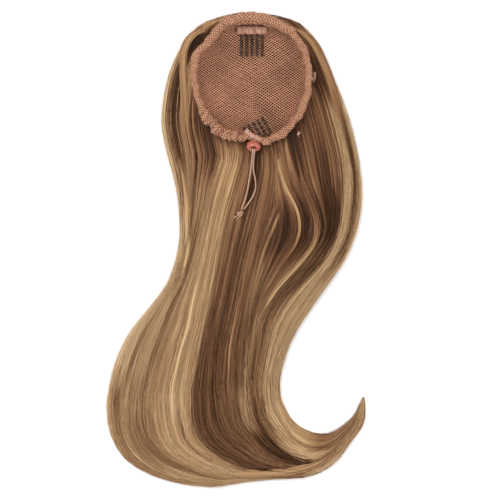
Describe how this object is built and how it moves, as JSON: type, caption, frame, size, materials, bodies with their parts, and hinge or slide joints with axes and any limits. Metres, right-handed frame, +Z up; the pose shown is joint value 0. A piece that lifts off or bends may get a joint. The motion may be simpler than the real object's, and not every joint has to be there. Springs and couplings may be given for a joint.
{
  "type": "drawstring ponytail hairpiece",
  "caption": "Long straight ponytail hairpiece on a net cap, with a ruched drawstring casing, a cord stop and two wire combs that hold it over a bun.",
  "frame": {"origin": "middle of the box round the whole part, at the height of the surface it lies on", "axes": "+Z up out of the cap's mouth, +Y from the hair's tip towards the crown, +X to the side that the tip hooks to"},
  "size_m": [0.2603, 0.477, 0.0386],
  "materials": {
    "hair": "straight fibre hair, brown with blond highlights",
    "net": "fine knitted net, pinkish beige",
    "casing": "ruched mesh cloth, pinkish beige",
    "wire": "dark coated wire",
    "tape": "woven tape, pinkish beige",
    "stop": "smooth coral plastic",
    "cord": "twisted cord, pinkish beige"
  },
  "bodies": {
    "root": {"hair": "hair", "cap_net": "net", "casing": "casing", "comb_top": "wire", "comb_bottom": "wire", "comb_tape": "tape", "cord_stop": "stop", "drawstring_loop": "cord", "drawstring_end_left": "cord", "drawstring_end_right": "cord", "drawstring_knot": "cord"}
  },
  "joints": []
}
